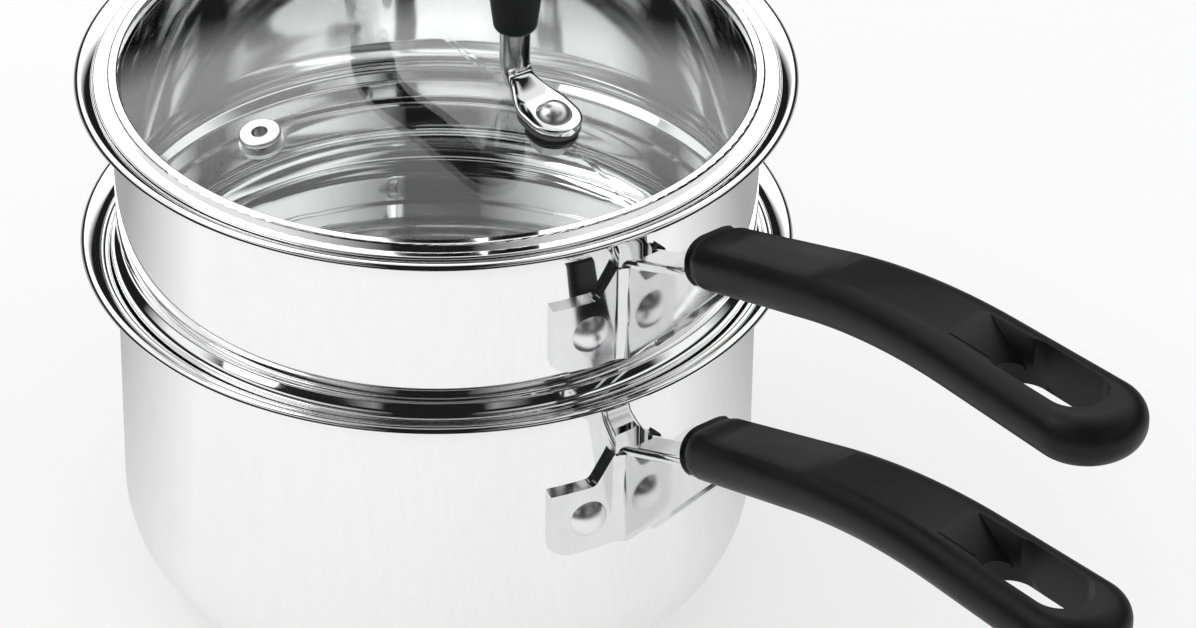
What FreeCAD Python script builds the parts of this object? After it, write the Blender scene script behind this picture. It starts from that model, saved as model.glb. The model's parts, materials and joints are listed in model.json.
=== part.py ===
import FreeCAD, Part
import os
from math import asin, atan2, cos, degrees, radians, sin, sqrt, tan

V = FreeCAD.Vector
UP = V(0, 0, 1)
ORIGIN = V(0, 0, 0)

# Millimetres. The object stands on z = 0 with its axis on Z, and both pan handles point along +X.

# Pans: both have the same bore, flare and curled lip
pan_inner_radius = 80.2
pan_sheet = 0.7
flare_radius = 11.0
flare_turn_angle = 74.3
curl_radius = 1.4
curl_end_angle = 165.0

saucepan_depth = 98.0
saucepan_corner_radius = 28.0

base_core_inset = 2.9
base_core_thickness = 3.4
base_cap_sheet = 0.6

# Insert: its bead rests on the flare of the saucepan, its lower wall hangs inside the saucepan
insert_depth = 74.0
insert_corner_radius = 9.0
insert_wall_clearance = 1.2
bead_height = 25.6
bead_overhang = 2.2
bead_round = 3.0
bead_flank_angle = 50.0
bead_corner_round = 1.4
bead_neck_step = 0.7
step_below_bead = 9.0
groove_depth = 1.1
shoulder_above_bead = 8.2
insert_seat_gap = 0.2

# Handle brackets: distances out from the pan's wall, heights from the rivets
saucepan_rivet_below_lip = 36.4
insert_rivet_below_lip = 28.6
bracket_sheet = 2.0
bracket_half_angle = 17.0
bracket_bend_radius = 3.0
stem_width = 10.6
stem_edge_round = 1.8
flange_above_rivet = 9.2
flange_below_rivet = 9.5
flange_corner_radius = 7.0
flange_shoulder_length = 6.2
stem_rise_angle = 22.0
stem_foot_height = 18.2
cheek_foot_out = 3.7
cheek_rise_angle = 48.5
cheek_round = 4.0
web_wall_gap = 4.4
tongue_taper_inside_grip = 12.0
tongue_inside_grip = 26.5
tongue_end_height = 3.0

rivet_half_angle = 10.0
rivet_shank_diameter = 5.0
rivet_head_diameter = 10.0
rivet_head_height = 2.8
rivet_tail_diameter = 8.6
rivet_tail_height = 1.2

# Grips
grip_nose_out = 26.6
grip_nose_height = 31.0
grip_rise_angle = 18.5
grip_length = 145.2
grip_straight_length = 43.0
grip_bend_radius = 200.0
grip_end_angle = 3.0
grip_nose_width = 19.3
grip_tip_width = 27.6
grip_nose_round = 7.5
grip_nose_thickness = 12.5
grip_tip_thickness = 12.4
grip_edge_round = 5.9

thumb_rest_from_nose = 28.5
thumb_rest_length = 44.0
thumb_rest_depth = 0.8
thumb_rest_ramp = 4.0

hang_slot_from_tip = 10.0
hang_slot_length = 33.0
hang_slot_width = 15.0
hang_ramp_lead = 10.0
hang_ramp_overlap = 10.0
hang_ramp_width = 12.0
hang_ramp_angle = 30.0

ferrule_sheet = 1.0
ferrule_wrap = 3.5

screw_from_nose = 20.5
screw_shank_diameter = 3.2
screw_head_diameter = 5.0
screw_head_height = 1.6
screw_head_round = 0.5
screw_slot_width = 0.9
screw_slot_depth = 0.8
screw_length = 4.2
screw_tip = 3.2
screw_hole_clearance = 0.2

# Lid: its brim rests on the flare of the insert, its skirt hangs inside the insert
glass_overhang = 1.0
glass_thickness = 3.6
glass_dome_radius = 300.0
glass_edge_above_brim = 0.8
band_sheet = 0.5
band_cover = 2.0
band_channel_drop = 3.3
band_skirt_clearance = 0.9
band_skirt_sheet = 0.6
band_skirt_drop = 11.0
brim_overhang = 5.2
brim_thickness = 0.9
brim_seat_gap = 0.15

vent_from_edge = 22.7
vent_angle = -83.5
vent_flange_diameter = 10.4
vent_flange_height = 1.1
vent_tube_diameter = 6.8
vent_hole_diameter = 4.1
vent_roll_diameter = 8.4
vent_roll_height = 0.9
vent_washer_diameter = 11.0
vent_washer_thickness = 1.2
vent_clearance = 0.1

loop_leg_x = 32.0
loop_rod_diameter = 7.6
loop_height = 43.5
loop_corner_radius = 12.0
foot_reach = 15.2
foot_width = 14.0
foot_thickness = 2.2
foot_bend_radius = 4.2
foot_taper_start = 11.5
foot_taper_length = 6.5
foot_round = 0.6
foot_pad_thickness = 0.9
foot_pad_length = 17.0

sleeve_above_glass = 15.5
sleeve_end_diameter = 10.4
sleeve_diameter = 13.2
sleeve_taper_length = 11.0
sleeve_end_round = 2.0

bolt_shank_diameter = 5.0
bolt_head_diameter = 9.0
bolt_head_height = 2.8
bolt_glass_clearance = 0.5
bolt_protrusion = 0.8
under_pad_diameter = 13.0
under_pad_thickness = 1.0
nut_width = 9.0
nut_height = 3.6
nut_chamfer = 0.5

# Derived radii
pan_outer_radius = pan_inner_radius + pan_sheet
flare_center_x = pan_inner_radius + flare_radius
flare_height = (flare_radius - curl_radius) * sin(radians(flare_turn_angle))
curl_center_x = flare_center_x - (flare_radius - curl_radius) * cos(radians(flare_turn_angle))
base_core_radius = pan_outer_radius - saucepan_corner_radius - base_core_inset

insert_lower_inner_radius = pan_inner_radius - insert_wall_clearance - pan_sheet
bead_neck_inner_radius = insert_lower_inner_radius + bead_neck_step
bead_center_x = pan_inner_radius + bead_overhang - bead_round
groove_inner_radius = pan_inner_radius - groove_depth

glass_radius = pan_inner_radius + glass_overhang
band_skirt_radius = pan_inner_radius - band_skirt_clearance
brim_center_x = pan_inner_radius + brim_overhang - brim_thickness / 2
vent_distance = glass_radius - vent_from_edge
foot_fastener_x = loop_leg_x + foot_reach

# Derived places along the handles
stem_foot_x = pan_outer_radius + bracket_sheet
cheek_foot_x = pan_outer_radius + cheek_foot_out
grip_nose_x = pan_outer_radius + grip_nose_out
grip_bend_start_x = grip_nose_x + grip_straight_length
grip_tip_x = grip_nose_x + grip_length
stem_web_start_x = pan_outer_radius + web_wall_gap
tongue_start_x = grip_nose_x + tongue_taper_inside_grip
tongue_end_x = grip_nose_x + tongue_inside_grip
screw_x = grip_nose_x + screw_from_nose
thumb_rest_x = grip_nose_x + thumb_rest_from_nose
hang_slot_end_x = grip_tip_x - hang_slot_from_tip
hang_slot_start_x = hang_slot_end_x - hang_slot_length
hang_ramp_start_x = hang_slot_start_x - hang_ramp_lead
hang_ramp_end_x = hang_slot_start_x + hang_ramp_overlap

# Derived levels
saucepan_z = base_core_thickness + base_cap_sheet
saucepan_lip_z = saucepan_z + saucepan_depth


def seated_height(lip_z, round_center_x, round_radius, gap):
    """Height of a rounded edge's centre when it rests on the flare below a lip."""
    reach = flare_radius + round_radius + gap
    return lip_z - flare_height + sqrt(reach ** 2 - (flare_center_x - round_center_x) ** 2)


insert_z = seated_height(saucepan_lip_z, bead_center_x, bead_round, insert_seat_gap) - bead_height
insert_lip_z = insert_z + insert_depth
brim_z = seated_height(insert_lip_z, brim_center_x, brim_thickness / 2, brim_seat_gap)


def dome_sag(radius):
    return glass_dome_radius - sqrt(glass_dome_radius ** 2 - radius ** 2)


glass_apex_z = brim_z + glass_edge_above_brim + dome_sag(glass_radius)


# General geometry

def point_xz(x, z):
    return V(x, 0, z)


def arc_edge(center, radius, start_angle, end_angle):
    """Arc in the XZ plane; angles in degrees from +X towards +Z."""
    angles = (start_angle, (start_angle + end_angle) / 2, end_angle)
    ends = [center + V(radius * cos(radians(a)), 0, radius * sin(radians(a))) for a in angles]
    return Part.Arc(*ends).toShape()


def rounded_edges(points, rounds):
    """Edges along the points, each inner corner rounded by its radius in rounds."""
    edges = []
    start = points[0]
    for before, corner, after, radius in zip(points, points[1:], points[2:], rounds):
        back = (before - corner).normalize()
        ahead = (after - corner).normalize()
        half = back.getAngle(ahead) / 2
        if radius > 0:
            entry = corner + back * (radius / tan(half))
            leave = corner + ahead * (radius / tan(half))
            bisector = (back + ahead).normalize()
            middle = corner + bisector * (radius / sin(half) - radius)
            edges.append(Part.LineSegment(start, entry).toShape())
            edges.append(Part.Arc(entry, middle, leave).toShape())
            start = leave
        else:
            edges.append(Part.LineSegment(start, corner).toShape())
            start = corner
    edges.append(Part.LineSegment(start, points[-1]).toShape())
    return edges


def polygon_face(points):
    return Part.Face(Part.makePolygon(points + points[:1]))


def prism_y(face, half_width):
    """Extrude a face of the XZ plane to both sides along Y."""
    moved = face.copy()
    moved.translate(V(0, -half_width, 0))
    return moved.extrude(V(0, 2 * half_width, 0))


def revolved(face):
    return face.revolve(ORIGIN, UP, 360)


def cylinder(diameter, height, base=ORIGIN, axis=UP):
    return Part.makeCylinder(diameter / 2, height, base, axis)


def ring(inner_radius, outer_radius, low_z, high_z):
    outer = cylinder(2 * outer_radius, high_z - low_z, V(0, 0, low_z))
    return outer.cut(cylinder(2 * inner_radius, high_z - low_z, V(0, 0, low_z)))


def placed(shape, x=0, z=0, tilt=0, turn=0):
    """Tilt about Y, move out to x and up to z, then turn about the axis Z."""
    out = shape.copy()
    out.rotate(ORIGIN, V(0, 1, 0), tilt)
    out.translate(V(x, 0, z))
    out.rotate(ORIGIN, UP, turn)
    return out


def group(solids):
    return Part.makeCompound(solids)


# Pans

def flare_edges(lip_z):
    """Flare and curled lip, along the upper surface of the sheet."""
    flare_center = point_xz(flare_center_x, lip_z - flare_height)
    curl_center = point_xz(curl_center_x, lip_z)
    flare = arc_edge(flare_center, flare_radius, 180, 180 - flare_turn_angle)
    curl = arc_edge(curl_center, curl_radius, 180 - flare_turn_angle, 180 - curl_end_angle)
    return [flare, curl]


def pressed_shell(edges):
    """Revolve a sheet whose upper or inner surface follows the edges from the axis to the lip."""
    path = Part.Wire(edges)
    return revolved(path.makeOffset2D(-pan_sheet, 0, True, True, False))


def saucepan_shell():
    floor_z = saucepan_z + pan_sheet
    wall_top = point_xz(pan_inner_radius, saucepan_lip_z - flare_height)
    points = [point_xz(0, floor_z), point_xz(pan_inner_radius, floor_z), wall_top]
    edges = rounded_edges(points, [saucepan_corner_radius - pan_sheet])
    return pressed_shell(edges + flare_edges(saucepan_lip_z))


def insert_profile():
    """Points and corner rounds of the insert's inner surface, from the axis to the flare."""
    floor_z = insert_z + pan_sheet
    bead_z = insert_z + bead_height
    flank = radians(bead_flank_angle)
    bead_inner_round = bead_round - pan_sheet
    touch_x = bead_center_x + bead_inner_round * cos(flank)
    touch_rise = bead_inner_round * sin(flank)
    neck_drop = touch_rise + (touch_x - bead_neck_inner_radius) / tan(flank)
    groove_rise = touch_rise + (touch_x - groove_inner_radius) / tan(flank)
    step_z = bead_z - step_below_bead
    step_height = bead_neck_inner_radius - insert_lower_inner_radius
    corners = [
        (insert_lower_inner_radius, floor_z, insert_corner_radius - pan_sheet),
        (insert_lower_inner_radius, step_z - step_height, bead_corner_round),
        (bead_neck_inner_radius, step_z + step_height, bead_corner_round),
        (bead_neck_inner_radius, bead_z - neck_drop, bead_corner_round),
        (bead_center_x + bead_inner_round / cos(flank), bead_z, bead_inner_round),
        (groove_inner_radius, bead_z + groove_rise, bead_corner_round),
        (pan_inner_radius, bead_z + shoulder_above_bead, bead_corner_round),
    ]
    points = [point_xz(0, floor_z)] + [point_xz(x, z) for x, z, _ in corners]
    points.append(point_xz(pan_inner_radius, insert_lip_z - flare_height))
    return points, [radius for _, _, radius in corners]


def insert_shell():
    points, rounds = insert_profile()
    return pressed_shell(rounded_edges(points, rounds) + flare_edges(insert_lip_z))


def saucepan_base_core():
    return cylinder(2 * base_core_radius, base_core_thickness, V(0, 0, base_cap_sheet))


def saucepan_base_cap():
    outer_radius = base_core_radius + base_cap_sheet
    outer = cylinder(2 * outer_radius, saucepan_z)
    outer = outer.makeFillet(base_cap_sheet, [outer.Edges[2]])
    return outer.cut(saucepan_base_core())


# Brackets

def keyhole_face(radius, half_width, bend_radius, half_angle, reach):
    """Plan outline: a sector of the wall's circle with a neck that leaves it along +X."""
    bend_y = half_width + bend_radius
    bend_x = sqrt((radius + bend_radius) ** 2 - bend_y ** 2)
    center = V(bend_x, bend_y, 0)
    on_circle = center * (radius / (radius + bend_radius))
    on_neck = V(bend_x, half_width, 0)
    toward = (on_circle + on_neck) * 0.5 - center
    bend_middle = center + toward.normalize() * bend_radius
    end = V(radius * cos(radians(half_angle)), radius * sin(radians(half_angle)), 0)
    between = (end + on_circle).normalize() * radius
    tip = V(reach, half_width, 0)

    def mirrored(p):
        return V(p.x, -p.y, 0)

    edges = [
        Part.LineSegment(ORIGIN, end).toShape(),
        Part.Arc(end, between, on_circle).toShape(),
        Part.Arc(on_circle, bend_middle, on_neck).toShape(),
        Part.LineSegment(on_neck, tip).toShape(),
        Part.LineSegment(tip, mirrored(tip)).toShape(),
        Part.LineSegment(mirrored(tip), mirrored(on_neck)).toShape(),
        Part.Arc(mirrored(on_neck), mirrored(bend_middle), mirrored(on_circle)).toShape(),
        Part.Arc(mirrored(on_circle), mirrored(between), mirrored(end)).toShape(),
        Part.LineSegment(mirrored(end), ORIGIN).toShape(),
    ]
    return Part.Face(Part.Wire(edges))


def stem_top(x):
    """Height of the stem's top line above the rivets."""
    return stem_foot_height + (x - stem_foot_x) * tan(radians(stem_rise_angle))


def stem_side_points():
    """Side outline of the bracket, heights from the rivets, with the corner rounds."""
    tongue_foot = -flange_below_rivet + (tongue_start_x - cheek_foot_x) * tan(radians(cheek_rise_angle))
    return [
        (0, -flange_below_rivet, 0),
        (cheek_foot_x, -flange_below_rivet, cheek_round),
        (tongue_start_x, tongue_foot, bracket_sheet),
        (tongue_end_x, stem_top(tongue_end_x) - tongue_end_height, 0),
        (tongue_end_x, stem_top(tongue_end_x), bracket_sheet),
        (stem_foot_x, stem_foot_height, 0),
        (0, stem_foot_height, 0),
    ]


def closed_rounded_face(corners, rivet_z):
    """Closed face in the XZ plane from (x, height, round) corners; the first corner stays sharp."""
    points = [point_xz(x, rivet_z + z) for x, z, _ in corners]
    rounds = [radius for _, _, radius in corners[1:]]
    return Part.Face(Part.Wire(rounded_edges(points + points[:1], rounds)))


def stem_side_face(rivet_z):
    return closed_rounded_face(stem_side_points(), rivet_z)


def stem_hollow(rivet_z):
    """What is open inside the stem: everything below its web, and the gap between web and wall."""
    web_drop = bracket_sheet / cos(radians(stem_rise_angle))
    low = rivet_z - 2 * flange_below_rivet
    high = rivet_z + stem_top(tongue_end_x)
    beyond = tongue_end_x + bracket_sheet
    outline = polygon_face([
        point_xz(0, low),
        point_xz(beyond, low),
        point_xz(beyond, rivet_z + stem_top(beyond) - web_drop),
        point_xz(stem_web_start_x, rivet_z + stem_top(stem_web_start_x) - web_drop),
        point_xz(stem_web_start_x, high),
        point_xz(0, high),
    ])
    inner_half_width = stem_width / 2 - bracket_sheet
    bend_radius = bracket_bend_radius + bracket_sheet
    plan = keyhole_face(pan_outer_radius, inner_half_width, bend_radius, 2 * bracket_half_angle, beyond)
    plan.translate(V(0, 0, low))
    return plan.extrude(V(0, 0, high - low)).common(prism_y(outline, pan_outer_radius))


def stem_edge_cutters(rivet_z):
    """What is rounded off the two upper edges of the stem."""
    inside_y = stem_width / 2 - stem_edge_round
    outside_y = stem_width / 2 + stem_edge_round
    low = rivet_z + stem_top(0) - stem_edge_round
    high = rivet_z + stem_top(0) + stem_edge_round
    corners = [(inside_y, low), (outside_y, low), (outside_y, high), (inside_y, high)]
    square = polygon_face([V(0, y, z) for y, z in corners])
    disc = Part.Face(Part.Wire(Part.makeCircle(stem_edge_round, V(0, inside_y, low), V(1, 0, 0))))
    beyond = tongue_end_x + bracket_sheet
    cutter = square.cut(disc).extrude(V(beyond, 0, beyond * tan(radians(stem_rise_angle))))
    return [cutter, cutter.mirror(ORIGIN, V(0, 1, 0))]


def flange_front(rivet_z):
    """Front outline of the flanges and their shoulders up to the stem, extruded along X."""
    half_width = pan_outer_radius * sin(radians(bracket_half_angle)) + bracket_sheet
    shoulder_y = stem_width / 2 + bracket_sheet / 2
    foot_y = shoulder_y + flange_shoulder_length
    top = rivet_z + stem_foot_height
    high = rivet_z + stem_top(tongue_end_x) + bracket_sheet
    corners = [
        (shoulder_y, high, 0),
        (shoulder_y, top, bracket_sheet),
        (foot_y, rivet_z + flange_above_rivet, bracket_sheet),
        (half_width, rivet_z + flange_above_rivet, 0),
        (half_width, rivet_z - flange_below_rivet, flange_corner_radius),
    ]
    right = [V(0, y, z) for y, z, _ in corners]
    left = [V(0, -y, z) for y, z, _ in reversed(corners)]
    radii = [radius for _, _, radius in corners]
    rounds = radii + radii[::-1]
    points = [V(0, 0, high)] + right + left + [V(0, 0, high)]
    outline = Part.Face(Part.Wire(rounded_edges(points, rounds)))
    return outline.extrude(V(tongue_end_x + bracket_sheet, 0, 0))


def rivet_holes(rivet_z):
    reach = pan_outer_radius + 2 * bracket_sheet
    hole = cylinder(rivet_shank_diameter, reach, V(0, 0, rivet_z), V(1, 0, 0))
    return [placed(hole, turn=side * rivet_half_angle) for side in (-1, 1)]


def bracket(rivet_z):
    high = stem_top(tongue_end_x) + 2 * bracket_sheet
    plan = keyhole_face(pan_outer_radius + bracket_sheet, stem_width / 2, bracket_bend_radius,
                        bracket_half_angle, tongue_end_x)
    plan.translate(V(0, 0, rivet_z - flange_below_rivet))
    body = plan.extrude(V(0, 0, flange_below_rivet + high))
    body = body.common(prism_y(stem_side_face(rivet_z), pan_outer_radius))
    body = body.common(flange_front(rivet_z))
    body = body.cut(group(stem_edge_cutters(rivet_z)))
    return body.cut(group([stem_hollow(rivet_z)] + rivet_holes(rivet_z) + [screw_shank(rivet_z)]))


def rivet(rivet_z, side):
    """One rivet: domed head on the flange, shank through the wall, flat tail inside."""
    seat_x = pan_outer_radius + bracket_sheet
    tail_x = pan_inner_radius - rivet_tail_height
    head_radius = rivet_head_diameter / 2
    dome_radius = (head_radius ** 2 + rivet_head_height ** 2) / (2 * rivet_head_height)
    dome = Part.makeSphere(dome_radius, V(seat_x + rivet_head_height - dome_radius, 0, rivet_z))
    slab = cylinder(rivet_head_diameter, 2 * rivet_head_height, V(seat_x - rivet_head_height / 2, 0, rivet_z),
                    V(1, 0, 0))
    wall = cylinder(2 * seat_x, 4 * head_radius, V(0, 0, rivet_z - 2 * head_radius))
    head = dome.common(slab).cut(wall)
    shank = cylinder(rivet_shank_diameter, seat_x - tail_x, V(tail_x, 0, rivet_z), V(1, 0, 0))
    tail = cylinder(rivet_tail_diameter, rivet_tail_height * 2, V(tail_x, 0, rivet_z), V(1, 0, 0))
    bore = cylinder(2 * pan_inner_radius, 4 * head_radius, V(0, 0, rivet_z - 2 * head_radius))
    tail = tail.common(bore)
    return placed(head.fuse([shank, tail]).removeSplitter(), turn=side * rivet_half_angle)


def rivets(rivet_z):
    return group([rivet(rivet_z, side) for side in (-1, 1)])


# Grips

def grip_line(offset_start, offset_end):
    """Edges parallel to the grip's centre line, heights from the rivets, nose first."""
    rise = radians(grip_rise_angle)
    level = radians(grip_end_angle)
    nose = V(grip_nose_x, 0, grip_nose_height)
    bend = nose + V(1, 0, tan(rise)) * (grip_bend_start_x - grip_nose_x)
    arc_center = bend + V(sin(rise), 0, -cos(rise)) * grip_bend_radius
    flat = arc_center + V(-sin(level), 0, cos(level)) * grip_bend_radius
    tip = flat + V(1, 0, tan(level)) * (grip_tip_x - flat.x)
    start_normal = V(-sin(rise), 0, cos(rise)) * offset_start
    middle_offset = (offset_start + offset_end) / 2
    end_normal = V(-sin(level), 0, cos(level)) * offset_end
    middle = radians((grip_rise_angle + grip_end_angle) / 2)
    top = arc_center + V(-sin(middle), 0, cos(middle)) * (grip_bend_radius + middle_offset)
    first = nose + start_normal - V(1, 0, tan(rise)) * grip_nose_round
    last = tip + end_normal + V(1, 0, tan(level)) * grip_nose_round
    return first, bend + start_normal, top, flat + end_normal, last


def grip_side_face(rivet_z, grow):
    """Side outline of the grip, longer than the grip at both ends."""
    nose_half = grip_nose_thickness / 2 + grow
    tip_half = grip_tip_thickness / 2 + grow
    upper = grip_line(nose_half, tip_half)
    lower = grip_line(-nose_half, -tip_half)
    edges = []
    for first, bend, top, flat, last in (upper, lower):
        edges.append(Part.LineSegment(first, bend).toShape())
        edges.append(Part.Arc(bend, top, flat).toShape())
        edges.append(Part.LineSegment(flat, last).toShape())
    edges.append(Part.LineSegment(upper[0], lower[0]).toShape())
    edges.append(Part.LineSegment(upper[-1], lower[-1]).toShape())
    face = Part.Face(Part.Wire(Part.__sortEdges__(edges)))
    face.translate(V(0, 0, rivet_z))
    return face


def grip_plan_face(grow):
    """Plan outline of the grip: narrow nose with round corners, wider round tip."""
    tip_center = V(grip_tip_x - grip_tip_width / 2, 0, 0)
    tip_radius = grip_tip_width / 2 + grow
    corner = V(grip_nose_x - grow, grip_nose_width / 2 + grow, 0)
    to_center = tip_center - corner
    lean = asin(tip_radius / to_center.Length) + atan2(to_center.y, to_center.x)
    tangent_length = sqrt(to_center.Length ** 2 - tip_radius ** 2)
    touch = corner + V(cos(lean), sin(lean), 0) * tangent_length

    def mirrored(p):
        return V(p.x, -p.y, 0)

    points = [touch, corner, mirrored(corner), mirrored(touch)]
    edges = rounded_edges(points, [grip_nose_round + grow, grip_nose_round + grow])
    edges.append(Part.Arc(mirrored(touch), tip_center + V(tip_radius, 0, 0), touch).toShape())
    return Part.Face(Part.Wire(edges))


def grip_body(rivet_z, grow=0):
    """Grip without openings, every surface moved out by grow."""
    side = prism_y(grip_side_face(rivet_z, grow), grip_tip_width)
    plan = grip_plan_face(grow)
    plan.translate(V(0, 0, side.BoundBox.ZMin))
    body = plan.extrude(V(0, 0, side.BoundBox.ZLength)).common(side)
    rims = [e for e in body.Edges if abs(e.tangentAt(e.FirstParameter).z) < 0.9]
    return body.makeFillet(grip_edge_round + grow, rims)


def grip_top(x):
    """Height of the grip's top line above the rivets, along its straight front part."""
    rise = radians(grip_rise_angle)
    return grip_nose_height + (x - grip_nose_x) * tan(rise) + grip_nose_thickness / 2 / cos(rise)


def thumb_rest_cutter(rivet_z):
    """Shallow flat with sloping ends across the top of the grip."""
    slope = tan(radians(grip_rise_angle))
    above = grip_nose_thickness
    points = []
    ramp_end = thumb_rest_length - thumb_rest_ramp
    for x, depth in ((0, 0), (thumb_rest_ramp, 1), (ramp_end, 1), (thumb_rest_length, 0)):
        at = thumb_rest_x - thumb_rest_length / 2 + x
        points.append(point_xz(at, rivet_z + grip_top(at) - depth * thumb_rest_depth))
    points.append(points[-1] + point_xz(0, above))
    points.append(points[0] + point_xz(0, above))
    return prism_y(polygon_face(points), grip_nose_width)


def stadium_face(start_x, end_x, width):
    """Plan outline with two round ends that reach from start_x to end_x."""
    radius = width / 2
    low = start_x + radius
    high = end_x - radius
    edges = [
        Part.LineSegment(V(low, -radius, 0), V(high, -radius, 0)).toShape(),
        Part.Arc(V(high, -radius, 0), V(end_x, 0, 0), V(high, radius, 0)).toShape(),
        Part.LineSegment(V(high, radius, 0), V(low, radius, 0)).toShape(),
        Part.Arc(V(low, radius, 0), V(start_x, 0, 0), V(low, -radius, 0)).toShape(),
    ]
    return Part.Face(Part.Wire(edges))


def tip_height(x):
    """Height of the grip's centre line above the rivets, along its straight rear part."""
    tip = grip_line(0, 0)[-1]
    return tip.z + (x - tip.x) * tan(radians(grip_end_angle))


def hang_ramp_cutter(rivet_z):
    """Sloping trough that leads from the grip's top into the hanging slot."""
    top = rivet_z + tip_height(hang_ramp_start_x) + grip_tip_thickness / 2
    length = hang_ramp_end_x - hang_ramp_start_x
    high = top + grip_tip_thickness
    points = [
        point_xz(hang_ramp_start_x, top),
        point_xz(hang_ramp_end_x, top - length * tan(radians(hang_ramp_angle))),
        point_xz(hang_ramp_end_x, high),
        point_xz(hang_ramp_start_x, high),
    ]
    plan = stadium_face(hang_ramp_start_x - hang_ramp_width / 2, hang_ramp_end_x, hang_ramp_width)
    plan.translate(V(0, 0, top - grip_tip_thickness))
    trough = plan.extrude(V(0, 0, 2 * grip_tip_thickness))
    return trough.common(prism_y(polygon_face(points), hang_ramp_width))


def hang_slot_cutter(rivet_z):
    plan = stadium_face(hang_slot_start_x, hang_slot_end_x, hang_slot_width)
    plan.translate(V(0, 0, rivet_z + tip_height(hang_slot_start_x) - grip_tip_thickness))
    return plan.extrude(V(0, 0, 2 * grip_tip_thickness))


def grip(rivet_z):
    body = grip_body(rivet_z)
    body = body.cut(group([thumb_rest_cutter(rivet_z), hang_slot_cutter(rivet_z)]))
    body = body.cut(hang_ramp_cutter(rivet_z))
    return body.cut(group([bracket(rivet_z), screw_hole(rivet_z)]))


def ferrule(rivet_z):
    """Thin cup that wraps the nose of the grip where the bracket enters it."""
    outer = grip_body(rivet_z, ferrule_sheet)
    box = outer.BoundBox
    rise = radians(grip_rise_angle)
    end = point_xz(grip_nose_x + ferrule_wrap, rivet_z + grip_nose_height)
    back = V(sin(rise), 0, -cos(rise)) * box.ZLength
    front = V(-cos(rise), 0, -sin(rise)) * box.YLength
    corners = [end + back, end - back, end - back + front, end + back + front]
    keep = prism_y(polygon_face(corners), box.YLength)
    cup = outer.common(keep).cut(group([grip_body(rivet_z), bracket(rivet_z)]))
    return max(cup.Solids, key=lambda solid: solid.Volume)


def screw_frame(shape, rivet_z):
    """Place a shape built on +Z at the screw: upright on the bracket's tongue."""
    web_drop = bracket_sheet / cos(radians(stem_rise_angle))
    out = shape.copy()
    out.rotate(ORIGIN, V(0, 1, 0), -stem_rise_angle)
    out.translate(point_xz(screw_x, rivet_z + stem_top(screw_x) - web_drop))
    return out


def screw_shank(rivet_z):
    """Threaded end of the screw, from under its head to just past the tongue."""
    shank = cylinder(screw_shank_diameter, screw_length, V(0, 0, screw_tip - screw_length))
    return screw_frame(shank, rivet_z)


def screw_hole(rivet_z):
    clearance = 2 * screw_hole_clearance
    head_z = screw_tip - screw_length
    shank = cylinder(screw_shank_diameter + clearance, screw_length + clearance, V(0, 0, head_z))
    depth = grip_nose_thickness
    recess = cylinder(screw_head_diameter + clearance, depth, V(0, 0, head_z - depth))
    return screw_frame(shank.fuse(recess), rivet_z)


def grip_screw(rivet_z):
    head_z = screw_tip - screw_length
    head = cylinder(screw_head_diameter, screw_head_height, V(0, 0, head_z - screw_head_height))
    head = head.makeFillet(screw_head_round, [head.Edges[2]])
    slot = Part.makeBox(screw_head_diameter, screw_slot_width, screw_slot_depth)
    slot.translate(V(-screw_head_diameter / 2, -screw_slot_width / 2, head_z - screw_head_height))
    return screw_shank(rivet_z).fuse(screw_frame(head.cut(slot), rivet_z)).removeSplitter()


# Lid

def glass_ball(depth):
    """Ball inside the dome, depth below its upper surface."""
    return Part.makeSphere(glass_dome_radius - depth, V(0, 0, glass_apex_z - glass_dome_radius))


def on_dome(shape, distance, turn=0):
    """Place a shape built on +Z upright on the dome's upper surface."""
    tilt = degrees(asin(distance / glass_dome_radius))
    return placed(shape, distance, glass_apex_z - dome_sag(distance), tilt, turn)


def loop_pair(make):
    """The same piece at both feet of the loop."""
    return group([make(turn) for turn in (0, 180)])


def lid_glass():
    edge = cylinder(2 * glass_radius, glass_dome_radius, V(0, 0, brim_z - glass_dome_radius / 2))
    glass = glass_ball(0).cut(glass_ball(glass_thickness)).common(edge)
    glass = [s for s in glass.Solids if s.BoundBox.ZMax > glass_apex_z - glass_thickness][0]
    reach = 2 * glass_thickness
    bolt_hole = cylinder(bolt_shank_diameter + 2 * bolt_glass_clearance, 2 * reach, V(0, 0, -reach))
    vent_hole = cylinder(vent_tube_diameter + 2 * vent_clearance, 2 * reach, V(0, 0, -reach))
    holes = [on_dome(bolt_hole, foot_fastener_x, turn) for turn in (0, 180)]
    return glass.cut(group(holes + [on_dome(vent_hole, vent_distance, vent_angle)]))


def lid_rim_band():
    """Rolled steel band: covers the glass edge, rests with its brim, hangs a skirt inside the pan."""
    cover_radius = glass_radius - band_cover
    top_z = brim_z + glass_edge_above_brim + dome_sag(glass_radius) - dome_sag(cover_radius) + band_sheet
    outer_radius = glass_radius + band_sheet
    floor_z = brim_z - band_channel_drop
    skirt_inner = band_skirt_radius - band_skirt_sheet
    channel = ring(cover_radius, outer_radius, floor_z, top_z)
    channel = channel.makeFillet(band_sheet, [e for e in channel.Edges if e.BoundBox.ZMin > top_z - 0.01])
    skirt = ring(skirt_inner, band_skirt_radius, brim_z - band_skirt_drop, floor_z)
    brim = ring(glass_radius, brim_center_x, brim_z - brim_thickness / 2, brim_z + brim_thickness / 2)
    roll = Part.makeTorus(brim_center_x, brim_thickness / 2, V(0, 0, brim_z))
    band = channel.fuse([skirt, brim, roll]).removeSplitter()
    return band.cut(lid_glass())


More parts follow.
